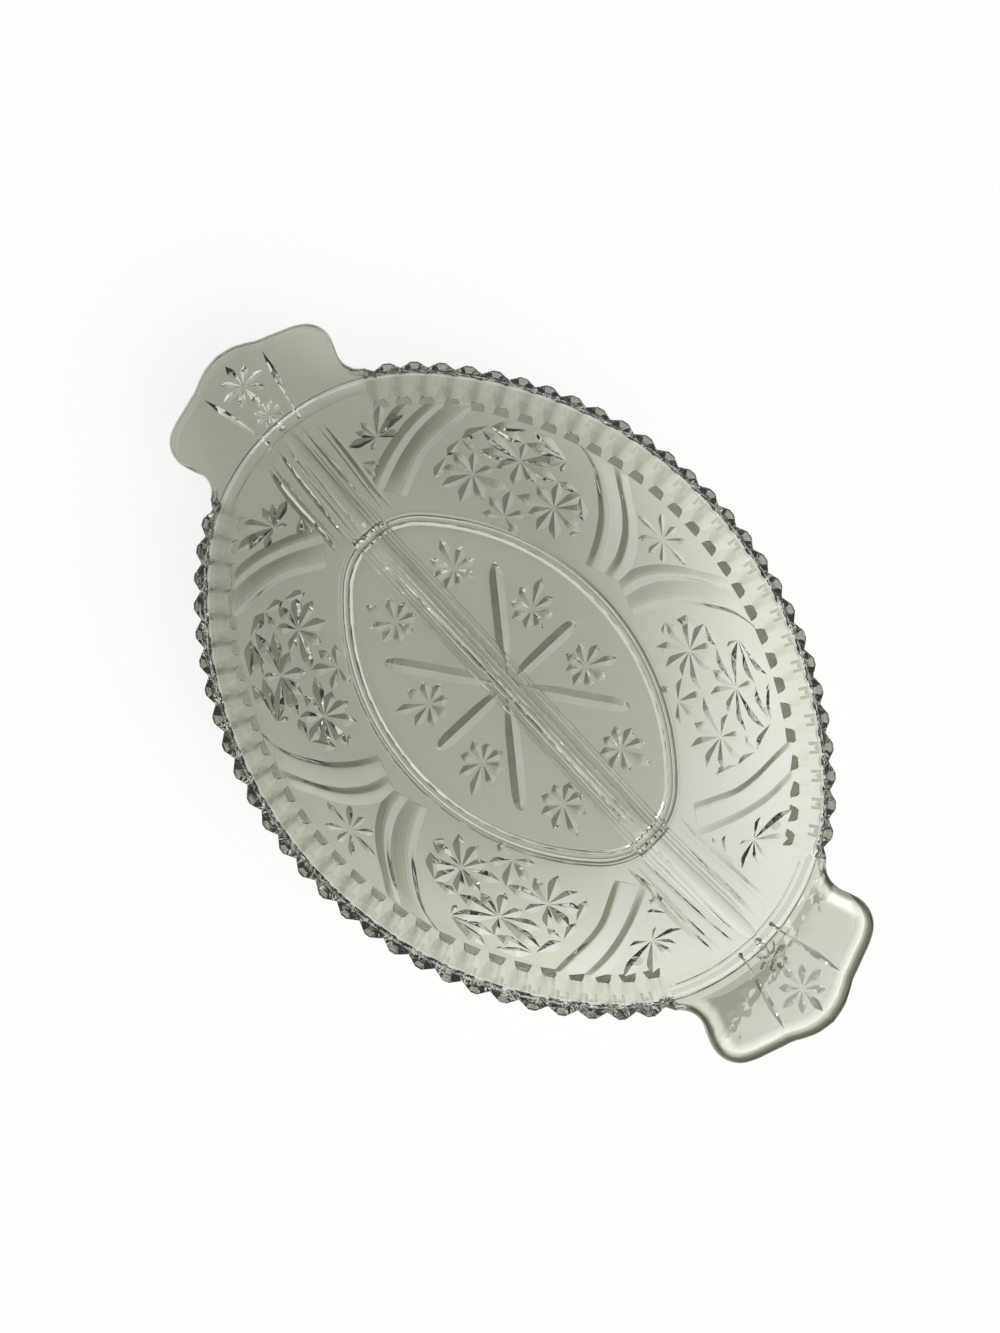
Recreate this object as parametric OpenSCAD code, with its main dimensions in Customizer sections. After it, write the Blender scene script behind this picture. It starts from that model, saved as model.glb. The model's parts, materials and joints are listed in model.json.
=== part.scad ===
/* [Oval] */
// Width of the bowl over the points of its teeth
bowl_w = 157.2; // [146:0.1:170]
// Distance between the centres of the two end arcs of its oval
arc_gap = 80; // [60:1:96]
// Height of the tray
tray_h = 36; // [30:1:42]

/* [Floor and foot] */
// How far the outside of the foot ring lies in from the teeth
foot_inset = 39; // [34:0.5:41]
// Width of the foot ring
foot_w = 3.3; // [2.4:0.1:4.2]
// Height of the foot ring
foot_h = 2; // [1.4:0.1:3]
// Chamfer along both lower edges of the foot ring
foot_bevel = 0.7; // [0.4:0.1:1]
// Thickness of the floor
floor_t = 5; // [4:0.1:7]

/* [Wall] */
// How far the inner edge of the mouth lies in from the teeth
mouth_inset = 4.5; // [3.5:0.1:6]
// How far the wall's outer surface bellies out from a straight flare
belly = 3.6; // [2:0.1:4.5]
// How far the wall's hollow side is dished from a straight flare
dish = 3.7; // [2:0.1:4.5]
// Height of the rim band, measured up the wall
rim_band = 12; // [9:0.5:15]

/* [Rim teeth] */
// Teeth along each long side
side_teeth = 27; // [21:2:33]
// Width of the blunt point of a tooth
tooth_flat = 0.8; // [0.4:0.1:1.4]
// Depth of the notch between two teeth, seen from above
notch_in = 1.8; // [1:0.1:2.4]
// Depth of the groove below a notch, at its lower end
groove_depth = 1.4; // [0.8:0.1:1.8]
// How far above the rim band's lower edge the grooves end
groove_end = 1.9; // [1:0.1:4]
// Height of the upright edge at the tooth points
edge_h = 1.6; // [1:0.1:2.4]
// Drop of the tooth points below the rim's inner edge
tip_drop = 1.4; // [0.8:0.1:2]
// How far the rim's outer edge overhangs the wall below it
overhang = 2; // [1.4:0.1:2.6]

/* [Divider] */
// Height of the divider above the floor
divider_h = 5; // [3:0.1:9]
// Width of the divider where it leaves the floor
divider_w = 12; // [9:0.1:16]
// Width of the divider's rounded crest
crest_w = 2.4; // [1.6:0.1:4]

/* [Handles] */
// Length of the tray over both handles
tray_l = 252; // [242:1:270]
// Width over a handle's two corner lobes
handle_w = 57; // [50:1:62]
// Width of a handle where it leaves the rim
neck_w = 52; // [46:1:54]
// Thickness of a handle
handle_t = 5.4; // [4:0.1:7]
// Radius of the corner lobes
corner_r = 10.2; // [8:0.1:12]
// How far the corner lobes stand back from the handle's middle
corner_back = 6.8; // [4:0.1:9]
// Radius of the middle lobe
middle_r = 18; // [14:0.5:24]

/* [Cut pattern] */
// Reach of the sunburst's cross cut from the middle of the floor
burst_w = 29; // [22:0.5:32]
// Reach of the sunburst's slanting cuts from the middle of the floor
burst_l = 39; // [30:0.5:42]
// Width of a sunburst cut
burst_cut = 4.4; // [3:0.1:5.4]
// Length of the long cut of a floor star
star_cut = 9; // [6:0.1:10]
// Width of a cut of a floor star
star_cut_w = 2.6; // [1.6:0.1:3.4]
// Length of the cuts of a wall star
wall_cut = 9.4; // [6:0.1:11]
// Width of the cuts of a wall star
wall_cut_w = 2.8; // [1.6:0.1:3.6]
// Length of the two lines that bound a handle's star
handle_line = 21; // [14:0.5:24]
// Width of the two lines that bound a handle's star
handle_line_w = 1.6; // [1:0.1:2.4]
// Length of the cuts of a handle's star
handle_cut = 6; // [4:0.1:8]

/* [Hidden] */
$fn = 96;

// One overrun lets every cutter run past the face that it cuts.
overrun = 1;

// The plan is an oval of four arcs: two end arcs about [end_c, 0] and [-end_c, 0],
// and two long arcs about [0, -side_back] and [0, side_back]. They meet smoothly at
// arc_angle from +Y. A line that lies r outside an end centre lies side_d + r outside
// a long arc's centre.
arc_angle = 45;
end_angle = 90 - arc_angle;
end_c = arc_gap / 2;
side_back = end_c / tan(arc_angle);
side_d = end_c / sin(arc_angle);
end_r = bowl_w / 2 + side_back - side_d;

// Radii about an end centre
foot_r = end_r - foot_inset;
floor_r = foot_r - foot_w;
mouth_r = end_r - mouth_inset;
edge_r = end_r - overhang;

// Heights
floor_top = foot_h + floor_t;
edge_top = tray_h - tip_drop;
edge_low = edge_top - edge_h;
edge_foot = edge_low - overhang;

// Where the wall is parted: the share of its length that lies under the rim band,
// and the bearings that part the middle, medallion and end panels.
wall_span = norm([mouth_r - floor_r, tray_h - floor_top]);
band_share = 1 - rim_band / wall_span;
wall_steps = 6;
band_steps = 3;
middle_angle = 6;
end_panel_angle = 36;
shoulder_angle = 1.6;
handle_angle = asin(neck_w / 2 / end_r) + shoulder_angle;

// A point along a flare that bows out by sag between two corners
function bowed(from, to, sag, share) =
    let (run = to - from, len = norm(run), out = [run[1], -run[0]] / len)
    from + run * share + out * 4 * sag * share * (1 - share);
function outer_pt(share) = bowed([foot_r, foot_h], [edge_r, edge_foot], belly, share);
function inner_pt(share) = bowed([floor_r, floor_top], [mouth_r, tray_h], dish, share);
function outer_run(low, high, steps) =
    [for (i = [0 : steps]) outer_pt(low + (high - low) * i / steps)];
function inner_run(low, high, steps) =
    [for (i = [steps : -1 : 0]) inner_pt(low + (high - low) * i / steps)];

// Bearing from +Y of a place that lies run along the tooth line from the middle
// of a long side. The first part of the line is the long arc, the rest the end arc.
side_run = (side_d + end_r) * arc_angle * PI / 180;
function on_side(run) = abs(run) <= side_run;
function side_bearing(run) = run / (side_d + end_r) * 180 / PI;
function end_bearing(run) = end_angle - (abs(run) - side_run) / end_r * 180 / PI;

// The teeth fill the tooth line between the two handles, short of them by half a flat.
tooth_run = side_run + end_r * (end_angle - handle_angle) * PI / 180 - tooth_flat / 2;
tooth_pitch = 2 * tooth_run / (side_teeth + 1);

glass = [0.70, 0.71, 0.63, 0.55];
glass_deep = [0.58, 0.60, 0.50, 0.6];
glass_pale = [0.83, 0.83, 0.80, 0.5];

// Slope of the wall's outer face at a share of its length
function outer_slope(share) = let (near_share = 0.01)
    let (run = outer_pt(share + near_share) - outer_pt(share - near_share)) atan2(run[1], run[0]);

// Turns a section about the back long arc's centre, between bearings from +Y
module side_sector(from, to) {
    translate([0, -side_back, 0]) rotate([0, 0, 90 - to])
        rotate_extrude(angle = to - from) translate([side_d, 0]) children();
}

// Turns a section about the right end arc's centre, between bearings from +X
module end_sector(from, to) {
    translate([end_c, 0, 0]) rotate([0, 0, from])
        rotate_extrude(angle = to - from) children();
}

// Carries a section round the back right quarter of the oval. Both turns start at the
// face that the two arcs share, and it lies along +X while they are joined.
module quarter_sweep(from_middle, to_end) {
    translate([0, -side_back, 0]) rotate([0, 0, 90 - arc_angle]) {
        rotate_extrude(angle = arc_angle - from_middle) translate([side_d, 0]) children();
        translate([side_d, 0, 0]) mirror([0, 1, 0])
            rotate_extrude(angle = end_angle - to_end) children();
    }
}

// Places a cutter at the tooth line, with +X pointing outwards
module at_run(run) {
    side = run < 0 ? 1 : 0;
    if (on_side(run))
        translate([0, -side_back, 0]) rotate([0, 0, 90 - side_bearing(run)])
            translate([side_d, 0, 0]) children();
    else
        mirror([side, 0, 0]) translate([end_c, 0, 0]) rotate([0, 0, end_bearing(run)])
            children();
}

module wall_section() {
    polygon(concat([[floor_r, foot_h]],
        outer_run(0, band_share, wall_steps),
        inner_run(0, band_share, wall_steps)));
}

module rim_section() {
    polygon(concat(outer_run(band_share, 1, band_steps),
        [[end_r, edge_low], [end_r, edge_top]],
        inner_run(band_share, 1, band_steps)));
}

module handle_section() {
    polygon(concat(outer_run(band_share, 1, band_steps),
        [[edge_r, tray_h]],
        inner_run(band_share, 1, band_steps)));
}

// The plan of a filled oval that lies r outside the end centres
module oval_plan(r) {
    half = end_c + r * sin(arc_angle);
    for (side = [-1, 1])
        translate([side * end_c, 0]) circle(r);
    intersection() {
        translate([0, -side_back]) circle(side_d + r);
        translate([0, side_back]) circle(side_d + r);
        square([2 * half, 2 * (side_d + r)], center = true);
    }
}

// A mitre cut: a groove that is widest in its middle and runs out to a point at
// both ends. It starts at the origin, runs along +X and is cut upwards into z = 0.
module mitre_cut(len, width) {
    deep_share = 0.4;
    polyhedron(
        points = [[0, 0, 0], [len, 0, 0], [len / 2, width / 2, 0], [len / 2, -width / 2, 0],
            [len / 2, 0, width * deep_share], [len / 2, 0, -overrun]],
        faces = [[0, 2, 4], [2, 1, 4], [1, 3, 4], [3, 0, 4],
            [2, 0, 5], [1, 2, 5], [3, 1, 5], [0, 3, 5]]);
}

// A star of mitre cuts round a bare centre, with the first one turned to +X. Its
// other cuts are shorter, by one share when even and by another when odd.
star_leaves = 8;
module cut_star(len, width, reach_share) {
    bare = width / 4;
    for (i = [0 : star_leaves - 1])
        rotate([0, 0, i * 360 / star_leaves]) translate([bare, 0, 0])
            mitre_cut(len * (i == 0 ? 1 : reach_share[i % 2]), width);
}

module sunburst_cuts() {
    slant_share = 0.82;
    slant = atan2(burst_w * slant_share, burst_l * slant_share);
    for (turn = [0, 180]) {
        rotate([0, 0, turn + 90]) mitre_cut(burst_w, burst_cut);
        for (bearing = [-slant, 0, slant])
            rotate([0, 0, turn + bearing]) mitre_cut(burst_l, burst_cut);
    }
}

module floor_star_cuts() {
    // Shares of the foot ring's reach along X and Y, and the way the long cut points
    inner_star_share = [0.188, 0.56];
    outer_star_share = [0.61, 0.32];
    // Shares of the long cut's length that the straight and slanting cuts have
    floor_reach_share = [0.72, 0.82];
    reach = [end_c + floor_r, side_d - side_back + floor_r];
    for (x = [-1, 1], y = [-1, 1])
        for (place = [inner_star_share, outer_star_share]) {
            spot = [x * place[0] * reach[0], y * place[1] * reach[1]];
            translate([spot[0], spot[1], 0]) rotate([0, 0, atan2(spot[1], spot[0])])
                cut_star(star_cut, star_cut_w, floor_reach_share);
        }
}

module floor_plate() {
    color(glass)
        difference() {
            translate([0, 0, foot_h]) linear_extrude(floor_t) oval_plan(floor_r);
            translate([0, 0, foot_h]) sunburst_cuts();
            translate([0, 0, foot_h]) floor_star_cuts();
        }
}

module foot_ring() {
    color(glass_deep)
        for (y = [0, 1], x = [0, 1])
            mirror([0, y, 0]) mirror([x, 0, 0]) quarter_sweep(0, 0)
                polygon([[floor_r + foot_bevel, 0], [foot_r - foot_bevel, 0], [foot_r, foot_bevel],
                    [foot_r, foot_h], [floor_r, foot_h], [floor_r, foot_bevel]]);
}

// The divider's section, seen along X: a ridge with a rounded crest
module divider_section() {
    polygon([[-divider_w / 2, 0], [divider_w / 2, 0], [crest_w / 2, divider_h - crest_w / 4],
        [crest_w / 4, divider_h], [-crest_w / 4, divider_h], [-crest_w / 2, divider_h - crest_w / 4]]);
}

// The divider's middle lies on the floor alone. It ends just inside the end walls.
divider_end_in = 3;
module divider_middle() {
    half = end_c + floor_r - divider_end_in;
    color(glass_deep)
        translate([-half, 0, floor_top]) rotate([90, 0, 90])
            linear_extrude(2 * half) divider_section();
}

// The glass under the floor and under the hollow face of the right end wall, turned
// all the way round the end arc's centre
module under_end_wall() {
    translate([end_c, 0, 0]) rotate([0, 0, 180]) rotate_extrude()
        polygon(concat([[0, -overrun], [end_r, -overrun], [end_r, tray_h]],
            inner_run(0, 1, wall_steps + band_steps), [[0, floor_top]]));
}

// The divider runs on up the end wall and dies out at the mouth. Its blank is a
// loft of sections under a crest line, and the floor and the wall cut it off below.
divider_steps = 10;
divider_sink = 0.6;
module divider_blank() {
    drop = divider_h + floor_t / 2;
    flank = crest_w / 2 + (divider_w - crest_w) / 2 * (drop - crest_w / 4) / (divider_h - crest_w / 4);
    function crest(share) = inner_pt(share)
        + [end_c, (divider_h + divider_sink) * (1 - share * share) - divider_sink];
    function station(top) =
        [[top[0], -flank, top[1] - drop], [top[0], flank, top[1] - drop],
        [top[0], crest_w / 2, top[1] - crest_w / 4], [top[0], crest_w / 4, top[1]],
        [top[0], -crest_w / 4, top[1]], [top[0], -crest_w / 2, top[1] - crest_w / 4]];
    tops = concat([crest(0) - [divider_end_in, 0]],
        [for (i = [0 : divider_steps]) crest(i / divider_steps)]);
    points = [for (top = tops) each station(top)];
    corners = len(station(tops[0]));
    last = len(points) - corners;
    faces = concat([[for (j = [1 : corners]) corners - j]], [[for (j = [1 : corners]) last + j - 1]],
        [for (i = [1 : len(tops) - 1], j = [0 : corners - 1]) each let (a = (i - 1) * corners + j,
            b = (i - 1) * corners + (j + 1) % corners)
            [[a, b, b + corners], [a, b + corners, a + corners]]]);
    polyhedron(points, faces);
}

module divider_end() {
    color(glass_deep)
        difference() {
            divider_blank();
            under_end_wall();
        }
}

module divider_end_right() { divider_end(); }
module divider_end_left() { mirror([1, 0, 0]) divider_end(); }

// Places a cutter on the wall's outer face, at a bearing from +Y and a share of the
// wall's length, with +X pointing up the wall and +Z into the glass
module at_wall(bearing, share) {
    spot = outer_pt(share);
    side = bearing <= arc_angle;
    translate(side ? [0, -side_back, 0] : [end_c, 0, 0]) rotate([0, 0, 90 - bearing])
        translate([(side ? side_d : 0) + spot[0], 0, spot[1]])
            rotate([0, -outer_slope(share), 0]) children();
}

module wall_star() {
    wall_reach_share = [0.9, 1];
    cut_star(wall_cut, wall_cut_w, wall_reach_share);
}

module medallion_panel() {
    // Bearings of the four stars, and their shares of the wall's length
    star_bearings = [19, 28.5, 38, 28.5];
    star_share = [0.27, 0.5, 0.27, 0.06];
    color(glass)
        difference() {
            quarter_sweep(middle_angle, end_panel_angle) wall_section();
            for (i = [0 : 3])
                at_wall(star_bearings[i], star_share[i]) wall_star();
        }
}

module medallion_panel_back_right() { medallion_panel(); }
module medallion_panel_back_left() { mirror([1, 0, 0]) medallion_panel(); }
module medallion_panel_front_right() { mirror([0, 1, 0]) medallion_panel(); }
module medallion_panel_front_left() { mirror([1, 0, 0]) mirror([0, 1, 0]) medallion_panel(); }

module middle_panel_back() {
    star_share = 0.56;
    color(glass_pale)
        difference() {
            side_sector(-middle_angle, middle_angle) wall_section();
            at_wall(0, star_share) wall_star();
        }
}

module middle_panel_front() { mirror([0, 1, 0]) middle_panel_back(); }

module end_panel_right() {
    star_bearing = 62;
    star_share = 0.57;
    color(glass_pale)
        difference() {
            end_sector(-end_panel_angle, end_panel_angle) wall_section();
            for (side = [0, 1])
                mirror([0, side, 0]) at_wall(star_bearing, star_share) wall_star();
        }
}

module end_panel_left() { mirror([1, 0, 0]) end_panel_right(); }

// A V groove down the rim band's outer face, between two teeth. Its bottom comes out
// of the rim's top face a notch's depth inside the tooth line.
module tooth_groove() {
    foot_share = band_share + groove_end / wall_span;
    slope = outer_slope(foot_share);
    low = outer_pt(foot_share) + groove_depth * [-sin(slope), cos(slope)];
    high = [end_r - notch_in, edge_top + tip_drop * notch_in / mouth_inset];
    lean = atan2(high[1] - low[1], high[0] - low[0]);
    rise = sin(lean) * notch_in + cos(lean) * (high[1] - edge_top);
    spread = (tooth_pitch - tooth_flat) / 2 / rise;
    deep = 3 * notch_in;
    translate([low[0], 0, low[1]]) rotate([0, -lean, 0]) rotate([90, 0, 90])
        linear_extrude(norm(high - low) + 3 * overrun)
            polygon([[0, 0], [deep * spread, -deep], [-deep * spread, -deep]]);
}

module rim_back() {
    color(glass_deep)
        difference() {
            for (x = [0, 1])
                mirror([x, 0, 0]) quarter_sweep(0, handle_angle) rim_section();
            for (i = [0 : side_teeth])
                at_run((i - side_teeth / 2) * tooth_pitch) tooth_groove();
        }
}

module rim_front() { mirror([0, 1, 0]) rim_back(); }

// The handle's plan: a neck, two corner lobes and a middle lobe
module handle_plan() {
    lobe = [tray_l / 2 - corner_back - corner_r, handle_w / 2 - corner_r];
    translate([tray_l / 2 - middle_r, 0]) circle(middle_r);
    for (side = [-1, 1])
        translate([lobe[0], side * lobe[1]]) circle(corner_r);
    polygon([[end_c, -neck_w / 2], [lobe[0], -neck_w / 2], [lobe[0] + corner_r, -lobe[1]],
        [lobe[0] + corner_r, lobe[1]], [lobe[0], neck_w / 2], [end_c, neck_w / 2]]);
}

// The cuts under a handle: two lines that spread outwards and a star between them
module handle_cuts() {
    spread = 12;
    star_share = 0.62;
    from = end_c + edge_r - overrun;
    for (side = [-1, 1])
        translate([from, side * divider_w / 2, 0]) rotate([0, 0, side * spread])
            mitre_cut(handle_line, handle_line_w);
    translate([from + (tray_l / 2 - from) * star_share, 0, 0])
        cut_star(handle_cut, handle_line_w, [1, 1]);
}

module handle_right() {
    color(glass_pale)
        difference() {
            union() {
                end_sector(-handle_angle, handle_angle) handle_section();
                translate([0, 0, tray_h - handle_t]) linear_extrude(handle_t)
                    difference() {
                        handle_plan();
                        translate([end_c, 0]) circle(edge_r - overrun);
                    }
            }
            translate([0, 0, tray_h - handle_t]) handle_cuts();
        }
}

module handle_left() { mirror([1, 0, 0]) handle_right(); }

floor_plate();
foot_ring();
divider_middle();
divider_end_right();
divider_end_left();
medallion_panel_back_right();
medallion_panel_back_left();
medallion_panel_front_right();
medallion_panel_front_left();
middle_panel_back();
middle_panel_front();
end_panel_right();
end_panel_left();
rim_back();
rim_front();
handle_right();
handle_left();
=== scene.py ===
import json
import math

import bmesh
import bpy
from mathutils import Matrix, Vector


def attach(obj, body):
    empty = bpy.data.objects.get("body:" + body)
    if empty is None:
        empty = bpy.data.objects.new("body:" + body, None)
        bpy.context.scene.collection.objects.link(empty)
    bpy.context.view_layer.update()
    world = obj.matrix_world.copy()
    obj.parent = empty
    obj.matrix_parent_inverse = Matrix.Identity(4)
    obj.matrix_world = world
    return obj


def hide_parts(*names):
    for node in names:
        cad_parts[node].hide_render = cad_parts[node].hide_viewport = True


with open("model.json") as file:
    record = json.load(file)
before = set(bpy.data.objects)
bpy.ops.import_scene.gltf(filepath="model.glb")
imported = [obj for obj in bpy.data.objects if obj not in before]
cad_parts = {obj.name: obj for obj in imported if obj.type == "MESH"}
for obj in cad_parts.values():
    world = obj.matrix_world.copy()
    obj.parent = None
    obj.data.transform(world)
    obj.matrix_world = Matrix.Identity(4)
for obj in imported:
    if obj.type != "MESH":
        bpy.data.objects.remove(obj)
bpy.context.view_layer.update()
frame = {"record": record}

# Sizes are in millimetres until the meshes are made.
MM = 0.001
UP = Vector((0, 0, 1))

# The oval is four arcs: two end arcs about (+-END_C, 0) and two long arcs about
# (0, -+SIDE_BACK). A line r outside an end centre is SIDE_D + r outside a long centre.
BOWL_WIDTH = 157.2
TRAY_HEIGHT = 36.0
END_C = 40.0
SIDE_BACK = END_C
SIDE_D = END_C * math.sqrt(2.0)
END_R = BOWL_WIDTH / 2 + SIDE_BACK - SIDE_D
ARC_TURN = 45.0

FOOT_R = END_R - 39.0
FLOOR_R = FOOT_R - 3.3
MOUTH_R = END_R - 4.5
EDGE_R = END_R - 2.0
FOOT_HEIGHT = 2.0
FLOOR_TOP = 7.0
EDGE_TOP = TRAY_HEIGHT - 1.4
EDGE_LOW = EDGE_TOP - 1.6
EDGE_FOOT = EDGE_LOW - 2.0
BELLY = 3.6
DISH = 3.7

SIDE_TEETH = 27
TOOTH_FLAT = 0.8
HANDLE_TURN = math.degrees(math.asin(26.0 / END_R)) + 1.6
SIDE_RUN = (SIDE_D + END_R) * math.radians(ARC_TURN)
TOOTH_RUN = SIDE_RUN + END_R * math.radians(90 - ARC_TURN - HANDLE_TURN) - TOOTH_FLAT / 2
TOOTH_PITCH = 2 * TOOTH_RUN / (SIDE_TEETH + 1)

HANDLE_UNDER = TRAY_HEIGHT - 5.4
HANDLE_TOP = TRAY_HEIGHT - 0.45
ROOT_TURN = 27.5


def bowed(start, end, sag, share):
    """A point along a flare that bows out by sag between two corners of the section."""
    run = (end[0] - start[0], end[1] - start[1])
    length = math.hypot(*run)
    bulge = 4 * sag * share * (1 - share)
    return (start[0] + run[0] * share + run[1] / length * bulge,
            start[1] + run[1] * share - run[0] / length * bulge)


def outer_point(share):
    return bowed((FOOT_R, FOOT_HEIGHT), (EDGE_R, EDGE_FOOT), BELLY, share)


def inner_point(share):
    return bowed((FLOOR_R, FLOOR_TOP), (MOUTH_R, TRAY_HEIGHT), DISH, share)


def bend(start, knee, end, t):
    """A point of the section on a smooth bend from start to end, drawn towards the knee."""
    return [a * (1 - t) ** 2 + 2 * b * t * (1 - t) + c * t * t for a, b, c in zip(start, knee, end)]


def way_out(bearing):
    """The plan direction at a bearing in degrees from +Y."""
    turn = math.radians(bearing)
    return Vector((math.sin(turn), math.cos(turn), 0.0))


def oval_place(bearing, r):
    """Plan point on the back right quarter, at a distance r from the end centre."""
    out = way_out(bearing)
    if bearing <= ARC_TURN:
        return Vector((0.0, -SIDE_BACK, 0.0)) + out * (SIDE_D + r)
    return Vector((END_C, 0.0, 0.0)) + out * r


def wall_place(bearing, share):
    """A point on the wall's outer face, the way up the wall there and the way into the glass."""
    step = 0.005
    spot = outer_point(share)
    ahead = outer_point(share + step)
    behind = outer_point(share - step)
    out = way_out(bearing)
    rise = (out * (ahead[0] - behind[0]) + Vector((0, 0, ahead[1] - behind[1]))).normalized()
    along = Vector((out.y, -out.x, 0.0))
    inward = along.cross(rise)
    if inward.z < 0:
        inward = -inward
    place = oval_place(bearing, spot[0]) + Vector((0, 0, spot[1]))
    return place, rise, inward


def spline(points, count):
    """Evenly spaced points on a Catmull-Rom curve through the given points."""
    ends = [points[0] * 2 - points[1]] + list(points) + [points[-1] * 2 - points[-2]]
    fine = []
    steps = 24
    for i in range(1, len(ends) - 2):
        a, b, c, d = ends[i - 1], ends[i], ends[i + 1], ends[i + 2]
        for j in range(steps):
            t = j / steps
            fine.append(0.5 * (2 * b + (c - a) * t + (2 * a - 5 * b + 4 * c - d) * t * t
                               + (3 * b - a - 3 * c + d) * t * t * t))
    fine.append(ends[-2].copy())
    reach = [0.0]
    for p, q in zip(fine, fine[1:]):
        reach.append(reach[-1] + (q - p).length)
    result = []
    j = 0
    for i in range(count + 1):
        want = reach[-1] * i / count
        while j < len(reach) - 2 and reach[j + 1] < want:
            j += 1
        gap = reach[j + 1] - reach[j]
        share = (want - reach[j]) / gap if gap > 0 else 0.0
        result.append(fine[j].lerp(fine[j + 1], share))
    return result


def in_scene(name, data):
    thing = bpy.data.objects.new(name, data)
    bpy.context.scene.collection.objects.link(thing)
    return thing


def mesh_object(name, points, faces):
    mesh = bpy.data.meshes.new(name)
    mesh.from_pydata([p * MM for p in points], [], faces)
    mesh.update()
    return in_scene(name, mesh)


def outward(piece):
    """Turns a closed mesh's faces outwards."""
    work = bmesh.new()
    work.from_mesh(piece.data)
    bmesh.ops.recalc_face_normals(work, faces=work.faces)
    work.to_mesh(piece.data)
    work.free()


def loft(name, points, size):
    """A closed mesh through sections of the given size that follow each other in a list."""
    rows = len(points) // size
    faces = []
    for i in range(rows - 1):
        for k in range(size):
            m = (k + 1) % size
            faces.append((i * size + k, i * size + m, (i + 1) * size + m, (i + 1) * size + k))
    faces.append(list(range(size)))
    faces.append([(rows - 1) * size + k for k in reversed(range(size))])
    piece = mesh_object(name, points, faces)
    outward(piece)
    return piece


# The handle's outline in plan, from its root at the last tooth to the middle of its tip
HANDLE_OUTLINE = [(95.0, 28.6), (97.4, 26.6), (100.2, 25.8), (103.2, 26.2), (106.2, 27.6),
                  (109.5, 28.5), (113.0, 28.0), (116.2, 25.8), (118.3, 22.2), (119.8, 18.0),
                  (121.0, 14.6), (122.0, 11.6), (123.6, 8.6), (125.2, 4.8), (126.0, 0.0)]
SIDE_STATIONS = 66
TURN_STATIONS = 14
HANDLE_STATIONS = 44
OUTER_STEPS = 24
UNDER_STEPS = 10
EDGE_STEPS = 9
TOP_STEPS = 9
INNER_STEPS = 26
UNDER_SHARE = 0.93
# How a handle's underside bends away from the wall's top corner, in and out from it
UNDER_BEND = (1.6, 1.5)
EDGE_ROUND = 2.3
# The edge at the teeth: how far its corners stand in, how far it swells, and how blunt it is
EDGE_IN = 0.5
EDGE_SWELL = 1.25
EDGE_CORNER = (0.35, 0.3)
TOOTH_BLUNTNESS = 0.6
HANDLE_BLUNTNESS = 0.8
# The climb from the edge to the lip, and the lip: distances from the mouth's inner edge and
# heights under the rim
CLIMB_START = 0.2
LIP_DROP = 0.55
LIP_FOOT = 1.5
LIP_BEAD = ((1.15, -0.3), (0.85, -0.05), (0.45, 0.0), (0.1, -0.15), (-0.12, -0.5))
# The hollow face as shares of its height, and the fillet at the floor
HOLLOW_TOP = 0.965
HOLLOW_LOW = 0.09
FILLET_STEPS = 5
FILLET_REACH = 3.2
FILLET_KNEE = 1.1
# Keeps the two arcs' stations from sharing a place
PAST_CORNER = 0.001

# The foot ring's section: distance from the end centre and height
FOOT_SECTION = [(20.3, 2.0), (20.6, 1.5), (20.95, 1.0), (21.3, 0.56), (21.7, 0.2), (22.2, 0.03),
                (22.8, 0.0), (23.4, 0.04), (23.8, 0.3), (24.15, 0.85), (24.5, 1.55), (24.85, 2.3)]
WALL_START = 0.055


def quarter_stations():
    """Stations of the back right quarter: bearing, outline point and how far it is handle."""
    stations = []
    for i in range(SIDE_STATIONS):
        bearing = ARC_TURN * i / SIDE_STATIONS
        stations.append((bearing, oval_place(bearing, END_R), 0.0))
    last = 90 - ROOT_TURN
    for i in range(TURN_STATIONS):
        bearing = ARC_TURN + PAST_CORNER + (last - ARC_TURN) * i / TURN_STATIONS
        blend = max(0.0, (i - TURN_STATIONS + 3) / 6)
        stations.append((bearing, oval_place(bearing, END_R), blend))
    outline = spline([Vector((x, y, 0)) for x, y in HANDLE_OUTLINE], HANDLE_STATIONS)
    for i, spot in enumerate(outline):
        bearing = last + ROOT_TURN * i / HANDLE_STATIONS
        blend = min(1.0, 0.5 + i / 6)
        stations.append((bearing, spot, blend))
    return stations


def eased(share):
    return share * share * (3 - 2 * share)


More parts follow.
